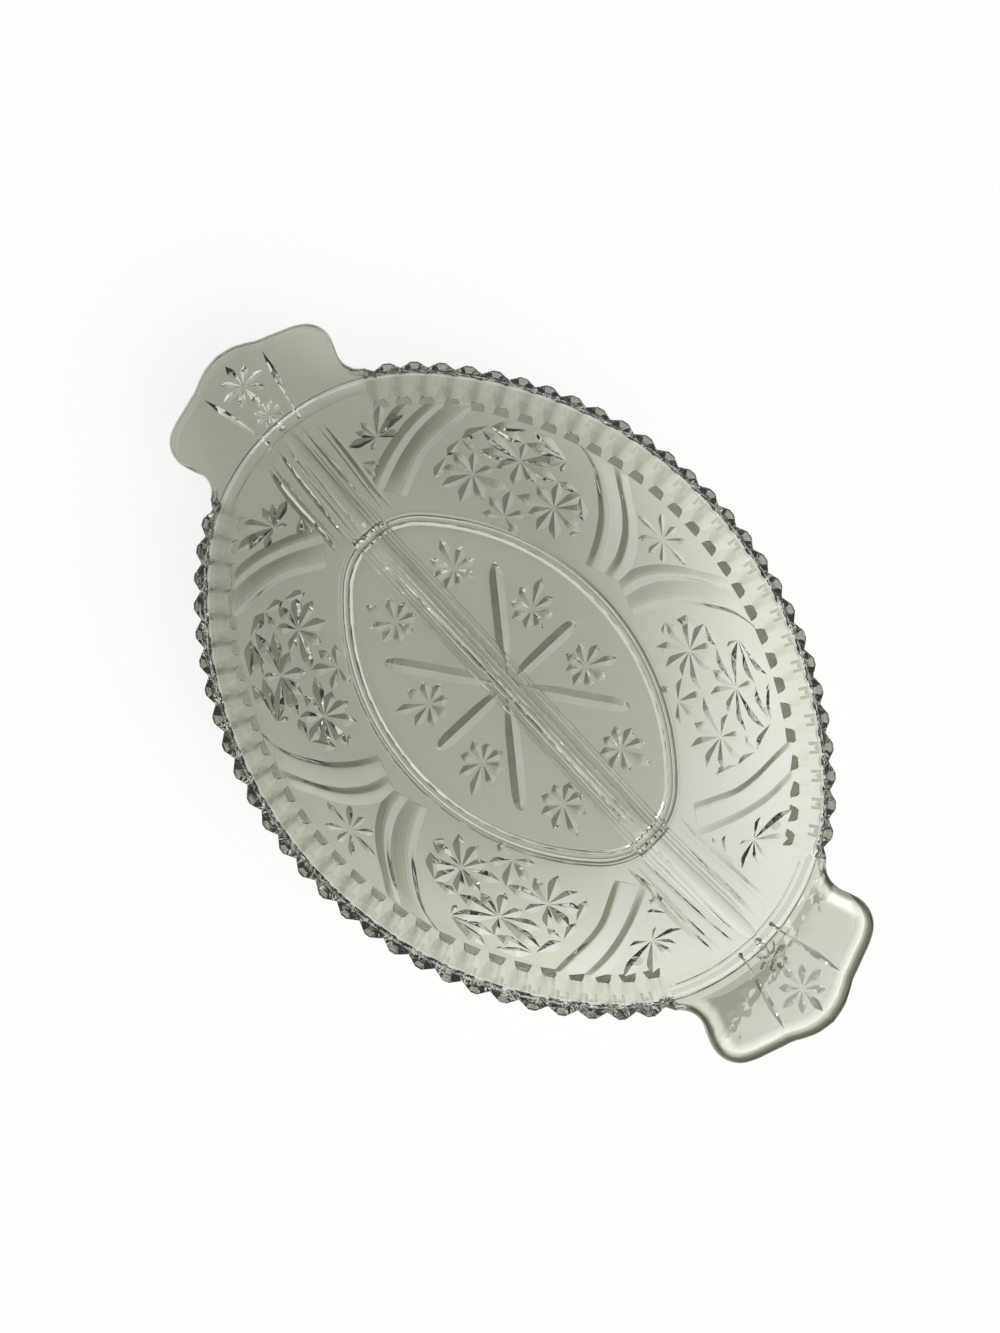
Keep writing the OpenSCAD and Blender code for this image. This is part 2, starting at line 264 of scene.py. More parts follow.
def station_section(station):
    """One section of the blank, from the foot's inner edge round the rim to the floor."""
    bearing, outline, handle = station
    handle = eased(handle)
    section = []

    def at(r, z):
        return oval_place(bearing, r) + Vector((0, 0, z))

    # foot ring with sloping flanks
    for r, z in FOOT_SECTION:
        section.append(at(r, z))
    for i in range(OUTER_STEPS + 1):
        section.append(at(*outer_point(WALL_START + (UNDER_SHARE - WALL_START) * i / OUTER_STEPS)))

    # under the rim or the handle
    start = outer_point(UNDER_SHARE)
    corner = outer_point(1.0)
    bend_at = (corner[0] - UNDER_BEND[0], HANDLE_UNDER)
    bend_end = (corner[0] + UNDER_BEND[1], HANDLE_UNDER)
    inner_edge = oval_place(bearing, MOUTH_R)
    reach = (outline - inner_edge).length
    inward = (inner_edge - outline).normalized()
    edge_in = EDGE_ROUND * min(1.0, (reach - 2.0) / EDGE_ROUND)
    under_edge = outline + inward * edge_in + Vector((0, 0, HANDLE_UNDER))
    for i in range(1, UNDER_STEPS + 1):
        t = i / UNDER_STEPS
        if t < 0.5:
            share = UNDER_SHARE + (1 - UNDER_SHARE) * t * 2
            rim = at(*outer_point(share))
        else:
            share = (t - 0.5) * 2
            rim = at(corner[0] + (END_R - EDGE_CORNER[0] - corner[0]) * share,
                     corner[1] + (EDGE_LOW - EDGE_CORNER[1] - corner[1]) * share)
        if t < 0.5:
            tab = at(*bend(start, bend_at, bend_end, t * 2))
        else:
            tab = at(*bend_end).lerp(under_edge, (t - 0.5) * 2)
        section.append(rim.lerp(tab, handle))

    # the edge: blunt at the teeth, half round at the handle
    for i in range(1, EDGE_STEPS):
        t = i / EDGE_STEPS
        turn = math.pi * (t - 0.5)
        bulge = math.cos(turn) ** TOOTH_BLUNTNESS
        z = (EDGE_LOW + EDGE_TOP) / 2 + math.sin(turn) * (EDGE_TOP - EDGE_LOW) / 2 * EDGE_SWELL
        rim = at(END_R - EDGE_IN * (1 - bulge), z)
        middle_z = (HANDLE_UNDER + HANDLE_TOP) / 2
        bulge = math.cos(turn) ** HANDLE_BLUNTNESS
        tab = outline + inward * edge_in * (1 - bulge)
        tab = tab + Vector((0, 0, middle_z + math.sin(turn) * (HANDLE_TOP - HANDLE_UNDER) / 2))
        section.append(rim.lerp(tab, handle))

    # the top: it climbs to the mouth's lip, with a low bead along it
    for i in range(TOP_STEPS + 1):
        t = i / TOP_STEPS
        rim = at(END_R - EDGE_IN + (MOUTH_R + LIP_FOOT - END_R + EDGE_IN) * t,
                 EDGE_TOP + CLIMB_START + (TRAY_HEIGHT - LIP_DROP - EDGE_TOP - CLIMB_START) * t)
        flat = outline + inward * edge_in
        tab = flat.lerp(at(MOUTH_R + LIP_FOOT, 0), eased(t) * 0.5 + t * 0.5)
        tab.z = HANDLE_TOP
        section.append(rim.lerp(tab, handle))
    for r, z in LIP_BEAD:
        section.append(at(MOUTH_R + r, TRAY_HEIGHT + z))

    # the hollow face and its fillet at the floor
    for i in range(INNER_STEPS + 1):
        share = HOLLOW_TOP + (HOLLOW_LOW - HOLLOW_TOP) * i / INNER_STEPS
        section.append(at(*inner_point(share)))
    begin = inner_point(HOLLOW_LOW)
    meet = (begin[0] - FILLET_REACH, FLOOR_TOP)
    knee = (begin[0] - FILLET_KNEE, FLOOR_TOP)
    for i in range(1, FILLET_STEPS + 1):
        t = i / FILLET_STEPS
        section.append(at(*bend(begin, knee, meet, t)))
    return section


def tray_blank():
    """The uncut pressing: one closed grid of sections round the oval."""
    quarter = [station_section(s) for s in quarter_stations()]
    ring = list(quarter)
    for section in reversed(quarter[:-1]):
        ring.append([Vector((p.x, -p.y, p.z)) for p in section])
    for section in reversed(ring[1:-1]):
        ring.append([Vector((-p.x, p.y, p.z)) for p in section])
    count = len(ring)
    width = len(ring[0])
    points = [p for section in ring for p in section]
    faces = []
    for i in range(count):
        j = (i + 1) % count
        for k in range(width - 1):
            faces.append((i * width + k, i * width + k + 1, j * width + k + 1, j * width + k))
    faces.append([i * width for i in range(count)])
    faces.append([i * width + width - 1 for i in reversed(range(count))])
    return mesh_object("tray_blank", points, faces)


# The divider's section: half widths and heights over the floor, from its root to its crest
DIVIDER_PROFILE = [(6.3, -1.2), (6.0, 0.0), (5.55, 1.2), (4.7, 1.35), (4.3, 2.3), (3.4, 2.5),
                   (2.9, 3.5), (2.0, 3.75), (1.5, 4.6), (0.6, 5.0)]
# The reeding under the divider: distance from its middle, half width and depth of each reed
DIVIDER_REEDS = [(-5.3, 0.6, 0.42), (-4.1, 0.8, 0.6), (-2.8, 0.6, 0.42), (-1.5, 0.9, 0.68),
                 (-0.1, 0.5, 0.36), (1.1, 0.8, 0.6), (2.4, 0.55, 0.4), (3.6, 0.8, 0.62),
                 (4.9, 0.7, 0.55)]
CREST_HEIGHT = 5.0
FLOOR_STOPS = 4
CLIMB_STOPS = 14


def divider_ridge():
    """The ridge along the floor, carried up both end walls to the mouth."""
    crest = []
    inner = END_C + FLOOR_R - 4.0
    for i in range(FLOOR_STOPS + 1):
        crest.append((inner * i / FLOOR_STOPS, FLOOR_TOP + CREST_HEIGHT))
    for i in range(1, CLIMB_STOPS + 1):
        share = i / CLIMB_STOPS
        r, z = inner_point(share)
        top = z + 5.6 * (1 - share * share) - 0.6
        crest.append((END_C + r, top))
    line = [(-x, top) for x, top in reversed(crest[1:])] + crest
    points = []
    side = [(-w, h) for w, h in DIVIDER_PROFILE] + [(w, h) for w, h in reversed(DIVIDER_PROFILE)]
    for x, top in line:
        for w, h in side:
            points.append(Vector((x, w, top - CREST_HEIGHT + h)))
    return loft("divider_ridge", points, len(side))


# Half widths along a mitre cut: a pointed leaf, widest past its middle, and a long petal
LEAF_OUTLINE = [(0.0, 0.0), (0.3, 0.5), (0.56, 0.94), (0.66, 1.0), (0.75, 0.86), (1.0, 0.0)]
PETAL_OUTLINE = [(0.0, 0.0), (0.10, 0.50), (0.22, 0.80), (0.36, 0.96), (0.6, 1.0), (0.84, 0.98),
                 (0.92, 0.80), (0.97, 0.48), (1.0, 0.0)]


def mitre_shape(name, outline):
    """A V cut: along +X from 0 to 1, half width 1, bottom at +Z 1, flaring out of the glass."""
    flare = 0.6
    points = []
    for x, w in outline:
        points += [Vector((x, -w - flare, -flare)), Vector((x, 0, w)), Vector((x, w + flare, -flare))]
    return loft(name, [q / MM for q in points], 3)


# The groove under a notch, in its own radial section: the place of its bottom line (r, z),
# the slope of its sides in degrees and how soft its section is
GROOVE_STATIONS = [((54.4, 24.2), 15.0, 1.0), ((57.4, 29.3), 19.0, 1.0), ((59.0, 32.0), 27.0, 0.5),
                   ((59.9, 33.6), 36.0, 0.0), ((60.1, 37.8), 36.0, 0.0)]
GROOVE_LEAN = math.radians(53)
# A soft section: distances from the bottom line and the share of the slope up to each
GROOVE_STEPS = ((0.4, 0.3), (0.9, 0.7), (1.5, 1.0), (2.2, 1.0), (3.1, 0.85), (4.3, 0.6), (6.5, 0.45))
GROOVE_REACH = 3.0


def groove_shape():
    """A groove that starts shallow on the wall and ends as a notch in the edge."""
    points = []
    out = Vector((math.sin(GROOVE_LEAN), 0, -math.cos(GROOVE_LEAN)))
    for spot, slope, soft in GROOVE_STATIONS:
        half = []
        last = 0.0
        height = 0.0
        for y, share in GROOVE_STEPS:
            steep = math.tan(math.radians(slope)) * (1 + (share - 1) * soft)
            height += (y - last) * steep
            last = y
            half.append((y, height))
        half.append((last, height + GROOVE_REACH))
        section = [(-y, h) for y, h in reversed(half)] + [(0.0, 0.0)] + half
        for y, h in section:
            points.append(Vector((spot[0], y, spot[1])) + out * h)
    return loft("groove_cut", [q / MM for q in points], len(section))


# The scoop at a groove's lower end: its foot (r, z), its half width and rise, and its steepness
SCOOP_FOOT = (53.75, 23.1)
SCOOP_HALF = 2.6
SCOOP_RISE = 1.6
SCOOP_STEEP = math.radians(62)


def scoop_shape():
    """A half-moon cut: steep and flat at its foot, open to the outside."""
    face = [(SCOOP_HALF, -0.6), (SCOOP_HALF, 0.0)]
    steps = 12
    tall = SCOOP_RISE / math.cos(SCOOP_STEEP)
    for i in range(1, steps):
        t = 1 - 2 * i / steps
        face.append((SCOOP_HALF * t, tall * (1 - abs(t) ** 2.3) ** 0.85))
    face += [(-SCOOP_HALF, 0.0), (-SCOOP_HALF, -0.6)]
    up = Vector((math.cos(SCOOP_STEEP), 0, math.sin(SCOOP_STEEP)))
    points = []
    for reach in (0.0, 5.0):
        for y, v in face:
            points.append(Vector((SCOOP_FOOT[0] + reach, y, SCOOP_FOOT[1])) + up * v)
    return loft("scoop_cut", [q / MM for q in points], len(face))


def placed(place, ahead, inward, size):
    """One cut: where it starts, the way it runs, the way into the glass, and its size."""
    ahead = ahead.normalized()
    inward = (inward - ahead * inward.dot(ahead)).normalized()
    side = inward.cross(ahead)
    turn = Matrix((ahead, side, inward)).transposed().to_euler()
    return place, turn, size


def mirrored(cuts, across_x, across_y):
    """Cuts of the back right quarter carried to another quarter."""
    flip = Vector((-1 if across_x else 1, -1 if across_y else 1, 1))
    result = []
    for place, turn, size in cuts:
        axes = turn.to_matrix()
        ahead = axes.col[0] * flip
        inward = axes.col[2] * flip
        result.append(placed(place * flip, ahead, inward, size))
    return result


def all_quarters(cuts):
    result = []
    for across_x in (False, True):
        for across_y in (False, True):
            result += mirrored(cuts, across_x, across_y)
    return result


def cut_points(name, cuts):
    """A mesh of points that carries each cut's turn and size."""
    piece = mesh_object(name, [place for place, turn, size in cuts], [])
    turns = piece.data.attributes.new("turn", "FLOAT_VECTOR", "POINT")
    sizes = piece.data.attributes.new("size", "FLOAT_VECTOR", "POINT")
    for i, (place, turn, size) in enumerate(cuts):
        turns.data[i].vector = tuple(turn)
        sizes.data[i].vector = tuple(s * MM for s in size)
    return piece


def tooth_grooves():
    """The middle of the oval's arc under each notch, and the way out from it."""
    cuts = []
    for i in range(SIDE_TEETH + 1):
        run = (i - SIDE_TEETH / 2) * TOOTH_PITCH
        if run < 0:
            continue
        if run <= SIDE_RUN:
            bearing = math.degrees(run / (SIDE_D + END_R))
        else:
            bearing = ARC_TURN + PAST_CORNER + math.degrees((run - SIDE_RUN) / END_R)
        cuts.append(placed(oval_place(bearing, 0.0), way_out(bearing), UP, (1.0, 1.0, 1.0)))
    return all_quarters(cuts)


def star(place, ahead, inward, lengths, width, depth):
    """Leaves round a bare centre; the first one points ahead."""
    cuts = []
    side = inward.cross(ahead).normalized()
    count = len(lengths)
    for i, length in enumerate(lengths):
        if length <= 0:
            continue
        turn = 2 * math.pi * i / count
        way = ahead * math.cos(turn) + side * math.sin(turn)
        cuts.append(placed(place + way * width * 0.25, way, inward,
                           (length, width / 2, depth)))
    return cuts


# The sunburst's petals: their bearings in degrees from +X and how far they reach
SUNBURST_PETALS = ((90, 29.0), (37, 38.5), (143, 38.5))
PETAL_START = 1.2
PETAL_HALF = 2.3
PETAL_DEPTH = 1.52
# The small stars under the floor: places of one quarter, and the leaves from the outermost on
FLOOR_STARS = ((12.0, 21.5), (37.5, 12.3))
FLOOR_STAR_LEAVES = (9.8, 7.2, 6.4, 6.2, 5.6, 6.2, 6.4, 7.2)
FLOOR_STAR_WIDTH = 3.3
FLOOR_STAR_DEPTH = 1.1


def sunburst_cuts():
    """The six petals of the sunburst that show beside the divider."""
    cuts = []
    for turn, reach in SUNBURST_PETALS:
        for flip in (0, 180):
            angle = math.radians(turn + flip)
            way = Vector((math.cos(angle), math.sin(angle), 0))
            cuts.append(placed(way * PETAL_START + UP * FOOT_HEIGHT, way, UP,
                               (reach - PETAL_START, PETAL_HALF, PETAL_DEPTH)))
    return cuts


def divider_reeds():
    """Fine reeds along the floor's underside, below the divider."""
    ahead = Vector((1, 0, 0))
    cuts = []
    for y, half_width, depth in DIVIDER_REEDS:
        reach = END_C + 18.0 - abs(y) * 0.7
        cuts.append(placed(Vector((-reach, y, FOOT_HEIGHT)), ahead, UP, (2 * reach, half_width, depth)))
    return cuts


def floor_star_cuts():
    """The eight small stars under the floor."""
    cuts = []
    for x, y in FLOOR_STARS:
        for sx in (-1, 1):
            for sy in (-1, 1):
                place = Vector((x * sx, y * sy, FOOT_HEIGHT))
                way = Vector((x * sx, y * sy, 0)).normalized()
                cuts += star(place, way, UP, FLOOR_STAR_LEAVES, FLOOR_STAR_WIDTH, FLOOR_STAR_DEPTH)
    return cuts


# The leaves of a medallion, and in the last two fans of the star between its flutes and the
# divider, as bearing and share of the wall: where they spring and where they end
MEDALLION_LEAVES = [
    ((19.0, 0.31), ((11.9, 0.261), (13.0, 0.415), (15.7, 0.488), (20.3, 0.485), (23.8, 0.404),
                    (26.7, 0.282), (23.2, 0.196), (20.1, 0.116), (15.4, 0.117))),
    ((28.0, 0.519), ((20.7, 0.645), (28.1, 0.657), (35.5, 0.659), (35.5, 0.52), (31.9, 0.424),
                     (27.8, 0.336), (23.8, 0.404), (20.5, 0.485))),
    ((35.8, 0.342), ((27.8, 0.289), (31.9, 0.424), (36.2, 0.502), (40.0, 0.478), (42.2, 0.35),
                     (41.5, 0.227), (37.2, 0.135), (32.5, 0.184))),
    ((27.5, 0.117), ((23.2, 0.196), (27.9, 0.307), (31.7, 0.222), (32.3, 0.1), (23.3, 0.058))),
    ((20.6, 0.653), ((20.9, 0.557), (28.1, 0.656), (27.3, 0.755))),
    ((28.4, 0.753), ((29.9, 0.723), (34.2, 0.705))),
    ((34.6, 0.703), ((28.3, 0.651), (38.8, 0.579))),
    ((38.9, 0.574), ((36.1, 0.508), (41.0, 0.438))),
    ((15.9, 0.485), ((12.7, 0.33), (20.2, 0.493))),
    ((11.8, 0.263), ((13.9, 0.203),)),
    ((41.0, 0.438), ((42.9, 0.279),)),
    ((63.3, 0.595), ((53.8, 0.607), (50.4, 0.824), (59.4, 0.842), (67.5, 0.735), (70.5, 0.678),
                     (74.9, 0.603), (67.0, 0.515))),
    ((73.2, 0.462), ((64.5, 0.40), (68.0, 0.315), (72.0, 0.28))),
]
# The most that a leaf's half width may be, and its share of the leaf's length
MEDALLION_LEAF = (1.75, 0.19)
END_STAR_LEAF = (1.3, 0.15)
END_STARS_FROM = 60.0
LEAF_START = 0.4
LEAF_SHORT = 0.5
LEAF_SLOPE = 0.5
# The star between two medallions: its place, and its leaves from the top one on
MIDDLE_STAR = (0.0, 0.60)
MIDDLE_STAR_LEAVES = (6.0, 9.0, 11.5, 8.0, 6.5, 8.0, 11.5, 9.0)


def wall_cuts():
    """The lattice of stars in a medallion and the fans of the star at the end wall."""
    cuts = []
    for centre, tips in MEDALLION_LEAVES:
        start, _, inward = wall_place(*centre)
        for tip in tips:
            end, _, facing = wall_place(*tip)
            way = end - start
            reach = way.length
            most, slimness = END_STAR_LEAF if centre[0] > END_STARS_FROM else MEDALLION_LEAF
            half_width = min(most, slimness * reach)
            cuts.append(placed(start + way * (LEAF_START / reach), way, inward + facing,
                               (reach - LEAF_SHORT, half_width, half_width * LEAF_SLOPE)))
    return cuts


def middle_star_cuts():
    place, rise, inward = wall_place(*MIDDLE_STAR)
    return star(place, rise, inward, MIDDLE_STAR_LEAVES, 3.0, 0.7)


# The wall's middle line, millimetres along it for a degree of each arc, and up the whole wall
MIDDLE_R = 45.0
SIDE_ARC_RUN = (SIDE_D + MIDDLE_R) * math.radians(1)
END_ARC_RUN = MIDDLE_R * math.radians(1)
RISE_RUN = 47.0


def wall_line(path, count):
    """Evenly spaced (bearing, share) places on a smooth line through the given ones."""
    corner = ARC_TURN * SIDE_ARC_RUN
    flat = []
    for bearing, share in path:
        if bearing <= ARC_TURN:
            run = bearing * SIDE_ARC_RUN
        else:
            run = corner + (bearing - ARC_TURN) * END_ARC_RUN
        flat.append(Vector((run, share * RISE_RUN, 0)))
    line = []
    for spot in spline(flat, count):
        if spot.x <= corner:
            bearing = spot.x / SIDE_ARC_RUN
        else:
            bearing = ARC_TURN + (spot.x - corner) / END_ARC_RUN
        line.append((bearing, spot.y / RISE_RUN))
    return line


def wall_sweep(name, path, widths, depths, count):
    """A V cut that follows the wall's outer face along a path of bearings and shares."""
    line = wall_line(path, count)
    points = []
    for i, spot in enumerate(line):
        place, _, inward = wall_place(*spot)
        before = line[max(0, i - 1)]
        after = line[min(count, i + 1)]
        way = wall_place(*after)[0] - wall_place(*before)[0]
        way.normalize()
        side = inward.cross(way).normalized()
        t = i / count
        for y, z in bar_section(spread_value(widths, t), spread_value(depths, t)):
            points.append(place + side * y + inward * z)
    return loft(name, points, len(points) // (count + 1))


def spread_value(values, share):
    """A value read along a list of evenly spaced values."""
    spot = share * (len(values) - 1)
    i = min(int(spot), len(values) - 2)
    return values[i] + (values[i + 1] - values[i]) * (spot - i)


def bar_section(width, depth):
    return [(-width, 0.0), (0.0, depth), (width, 0.0), (width, -1.2), (-width, -1.2)]


# The deepest lines of the two flutes beside a medallion, as bearing and share of the wall from
# the foot ring up: first the inner flute's line, then the outer one's
SIDE_FLUTES = [
    [(6.1, 0.12), (7.5, 0.26), (9.6, 0.415), (11.4, 0.51), (13.2, 0.597), (15.1, 0.681),
     (17.0, 0.742), (19.3, 0.795)],
    [(1.6, 0.16), (2.3, 0.289), (4.0, 0.415), (6.0, 0.516), (8.0, 0.60), (10.1, 0.679),
     (12.3, 0.78)],
]
END_FLUTES = [
    [(58.4, 0.165), (56.2, 0.202), (52.1, 0.301), (47.9, 0.423), (43.6, 0.562), (40.8, 0.69),
     (39.0, 0.784), (37.8, 0.835)],
    [(71.5, 0.255), (69.0, 0.285), (63.0, 0.376), (56.1, 0.504), (49.0, 0.651), (44.3, 0.762),
     (42.6, 0.829)],
]
FLUTE_DEPTHS = (0.35, 0.75, 0.88, 0.92, 0.92, 0.78, 0.35)
FLUTE_STOPS = 44
FLUTE_STEEP = 2.6
LAST_FLUTE = 4.2
# How far a flute's cutter stands out of the glass
CUTTER_OUT = 1.8
# A flute's section: depths over its steep side, and over the gentle rise beyond its deepest line
STEEP_SIDE = ((1.0, 0.0), (0.7, 0.26), (0.35, 0.66), (0.1, 0.93), (0.0, 0.99))
GENTLE_SIDE = ((0.1, 1.0), (0.3, 0.86), (0.5, 0.62), (0.7, 0.36), (0.86, 0.13), (1.0, -0.05))


def arch_flute(name, line, beside, beyond):
    """A concave flute, steep on the medallion's side of its line, gentle beyond it."""
    places = wall_line(line, FLUTE_STOPS)
    other = wall_line(beside, FLUTE_STOPS)
    points = []
    for i in range(FLUTE_STOPS + 1):
        here, _, inward = wall_place(*places[i])
        across = wall_place(*other[i])[0] - here
        if beyond:
            width = across.length - FLUTE_STEEP
        else:
            across = -across
            width = LAST_FLUTE
        across.normalize()
        depth = spread_value(FLUTE_DEPTHS, i / FLUTE_STOPS)
        points.append(here - across * FLUTE_STEEP - inward * CUTTER_OUT)
        for share, sink in STEEP_SIDE:
            points.append(here - across * share * FLUTE_STEEP + inward * sink * depth)
        for share, sink in GENTLE_SIDE:
            points.append(here + across * share * width + inward * sink * depth)
        points.append(here + across * width - inward * CUTTER_OUT)
    return loft(name, points, len(points) // (FLUTE_STOPS + 1))


def arch_flutes():
    """Two concave flutes on each side of a medallion. They run out under the rim band."""
    pieces = []
    for side, lines in (("side", SIDE_FLUTES), ("end", END_FLUTES)):
        pieces.append(arch_flute(f"inner_flute_{side}", lines[0], lines[1], True))
        pieces.append(arch_flute(f"outer_flute_{side}", lines[1], lines[0], False))
    return pieces


# The mitre lines up an end wall beside the divider's foot: path, half width and depth
END_BARS = [([(66.0, 0.10), (72.0, 0.3), (78.8, 0.84)], 1.3, 0.95),
            ([(72.0, 0.12), (76.0, 0.35), (80.8, 0.86)], 0.6, 0.36),
            ([(77.0, 0.10), (81.5, 0.4), (85.1, 0.90)], 0.8, 0.6),
            ([(84.0, 0.10), (86.5, 0.4), (88.0, 0.88)], 0.5, 0.3)]
BAR_STOPS = 20


def end_bars():
    """The straight mitre lines up each end wall. They run out at both ends."""
    pieces = []
    for k, (path, width, depth) in enumerate(END_BARS):
        widths = (0.3, width * 0.8, width, width, width * 0.8, 0.3)
        depths = (0.1, depth * 0.8, depth, depth, depth * 0.8, 0.1)
        pieces.append(wall_sweep(f"end_bar_{k}", path, widths, depths, BAR_STOPS))
    return pieces


# The two lines under a handle: where they start, how they spread, and their size
HANDLE_LINE_START = (98.0, 6.0)
HANDLE_LINE_SPREAD = 0.24
HANDLE_LINE_SIZE = (21.5, 0.9, 0.9)
# The stars under a handle: place along the tray, leaves, width of a leaf and depth
HANDLE_STARS = ((114.5, (7.5, 6, 7.0, 6, 7.5, 6, 7.0, 6), 2.2, 1.0),
                (103.2, (4.5, 4, 4.5, 4, 4.5, 4, 4.5, 4), 1.7, 0.8))


def handle_cuts():
    """The spreading lines and the stars under each handle."""
    cuts = []
    x, y = HANDLE_LINE_START
    for side in (-1, 1):
        way = Vector((1, side * HANDLE_LINE_SPREAD, 0))
        cuts.append(placed(Vector((x, y * side, HANDLE_UNDER)), way, UP, HANDLE_LINE_SIZE))
    for x, leaves, width, depth in HANDLE_STARS:
        cuts += star(Vector((x, 0, HANDLE_UNDER)), Vector((1, 0, 0)), UP, leaves, width, depth)
    return cuts + mirrored(cuts, True, False)


def copy_quarter(piece, across_x, across_y):
    """A sweep of the back right quarter mirrored to another quarter."""
    mesh = piece.data.copy()
    for v in mesh.vertices:
        v.co.x *= -1 if across_x else 1
        v.co.y *= -1 if across_y else 1
    twin = in_scene(piece.name + "_twin", mesh)
    outward(twin)
    return twin


# The scale of the mitre cuts over their drawn sizes
CUT_SCALE = {"Cut depth": 1.0, "Cut width": 1.0}


def cut_tree(name, point_sets, sweeps, ridge, glass):
    """Geometry nodes that join the ridge to the blank and take all the cuts out of it."""
    tree = bpy.data.node_groups.new(name, "GeometryNodeTree")
    tree.interface.new_socket("Geometry", in_out="INPUT", socket_type="NodeSocketGeometry")
    for label in CUT_SCALE:
        scale = tree.interface.new_socket(label, in_out="INPUT", socket_type="NodeSocketFloat")
        scale.default_value = 1.0
    tree.interface.new_socket("Geometry", in_out="OUTPUT", socket_type="NodeSocketGeometry")
    nodes = tree.nodes
    links = tree.links
    entry = nodes.new("NodeGroupInput")
    leave = nodes.new("NodeGroupOutput")
    share = nodes.new("ShaderNodeCombineXYZ")
    share.inputs["X"].default_value = 1.0
    links.new(entry.outputs["Cut width"], share.inputs["Y"])
    links.new(entry.outputs["Cut depth"], share.inputs["Z"])

    def from_object(piece):
        info = nodes.new("GeometryNodeObjectInfo")
        info.transform_space = "ORIGINAL"
        info.inputs["Object"].default_value = piece
        return info.outputs["Geometry"]

    def from_attribute(label):
        read = nodes.new("GeometryNodeInputNamedAttribute")
        read.data_type = "FLOAT_VECTOR"
        read.inputs["Name"].default_value = label
        return read.outputs["Attribute"]

    def boolean(operation):
        node = nodes.new("GeometryNodeMeshBoolean")
        node.operation = operation
        node.solver = "MANIFOLD"
        return node

    join = boolean("UNION")
    links.new(entry.outputs["Geometry"], join.inputs["Mesh 2"])
    links.new(from_object(ridge), join.inputs["Mesh 2"])

    cut = boolean("DIFFERENCE")
    links.new(join.outputs["Mesh"], cut.inputs["Mesh 1"])
    for points, shape, scaled in point_sets:
        rotation = nodes.new("FunctionNodeEulerToRotation")
        links.new(from_attribute("turn"), rotation.inputs["Euler"])
        spread = nodes.new("GeometryNodeInstanceOnPoints")
        links.new(from_object(points), spread.inputs["Points"])
        links.new(from_object(shape), spread.inputs["Instance"])
        links.new(rotation.outputs["Rotation"], spread.inputs["Rotation"])
        size = from_attribute("size")
        if scaled:
            product = nodes.new("ShaderNodeVectorMath")
            product.operation = "MULTIPLY"
            links.new(size, product.inputs[0])
            links.new(share.outputs["Vector"], product.inputs[1])
            size = product.outputs["Vector"]
        links.new(size, spread.inputs["Scale"])
        links.new(spread.outputs["Instances"], cut.inputs["Mesh 2"])
    for piece in sweeps:
        links.new(from_object(piece), cut.inputs["Mesh 2"])

    real = nodes.new("GeometryNodeRealizeInstances")
    links.new(cut.outputs["Mesh"], real.inputs["Geometry"])
    finish = nodes.new("GeometryNodeSetMaterial")
    finish.inputs["Material"].default_value = glass
    links.new(real.outputs["Geometry"], finish.inputs["Geometry"])
    links.new(finish.outputs["Geometry"], leave.inputs["Geometry"])
    return tree


def combined(tree, operation, first, second):
    """The value of a Math node on two sockets."""
    node = tree.nodes.new("ShaderNodeMath")
    node.operation = operation
    tree.links.new(first, node.inputs[0])
    tree.links.new(second, node.inputs[1])
    return node.outputs["Value"]


def along_way(tree, source, way):
    """How far a vector socket reaches along a fixed way."""
    node = tree.nodes.new("ShaderNodeVectorMath")
    node.operation = "DOT_PRODUCT"
    node.inputs[1].default_value = way
    tree.links.new(source, node.inputs[0])
    return node.outputs["Value"]


def eased_range(tree, source, span, ends):
    """A value that eases from one end to the other over a span of the source."""
    node = tree.nodes.new("ShaderNodeMapRange")
    node.interpolation_type = "SMOOTHSTEP"
    for name, value in zip(("From Min", "From Max", "To Min", "To Max"), (*span, *ends)):
        node.inputs[name].default_value = value
    tree.links.new(source, node.inputs["Value"])
    return node.outputs["Result"]


def ramp(tree, source, stops):
    """A colour ramp over a value: rising places, each with its colour."""
    node = tree.nodes.new("ShaderNodeValToRGB")
    elements = node.color_ramp.elements
    elements[0].position = stops[0][0]
    elements[1].position = stops[-1][0]
    for place, _ in stops[1:-1]:
        elements.new(place)
    for element, (_, colour) in zip(elements, stops):
        element.color = (*colour, 1)
    tree.links.new(source, node.inputs["Fac"])
    return node.outputs["Color"]


def noise(tree, source, scale, detail):
    node = tree.nodes.new("ShaderNodeTexNoise")
    node.inputs["Scale"].default_value = scale
    node.inputs["Detail"].default_value = detail
    tree.links.new(source, node.inputs["Vector"])
    return node.outputs["Fac"]


# The glass's tint over a soft cloud, and what a facet's painted tone multiplies it by: down to painted
# shade, up to a painted highlight
GLASS_TINTS = ((0.3, (0.755, 0.765, 0.668)), (0.7, (0.80, 0.805, 0.712)))
TONE_STOPS = ((0.0, (0.07, 0.075, 0.045)), (0.08, (0.16, 0.17, 0.12)),
              (0.5, (0.80, 0.80, 0.78)), (1.0, (1.5, 1.5, 1.55)))
CLOUD_SCALE = 9.0
RIPPLE_SCALE = 130.0


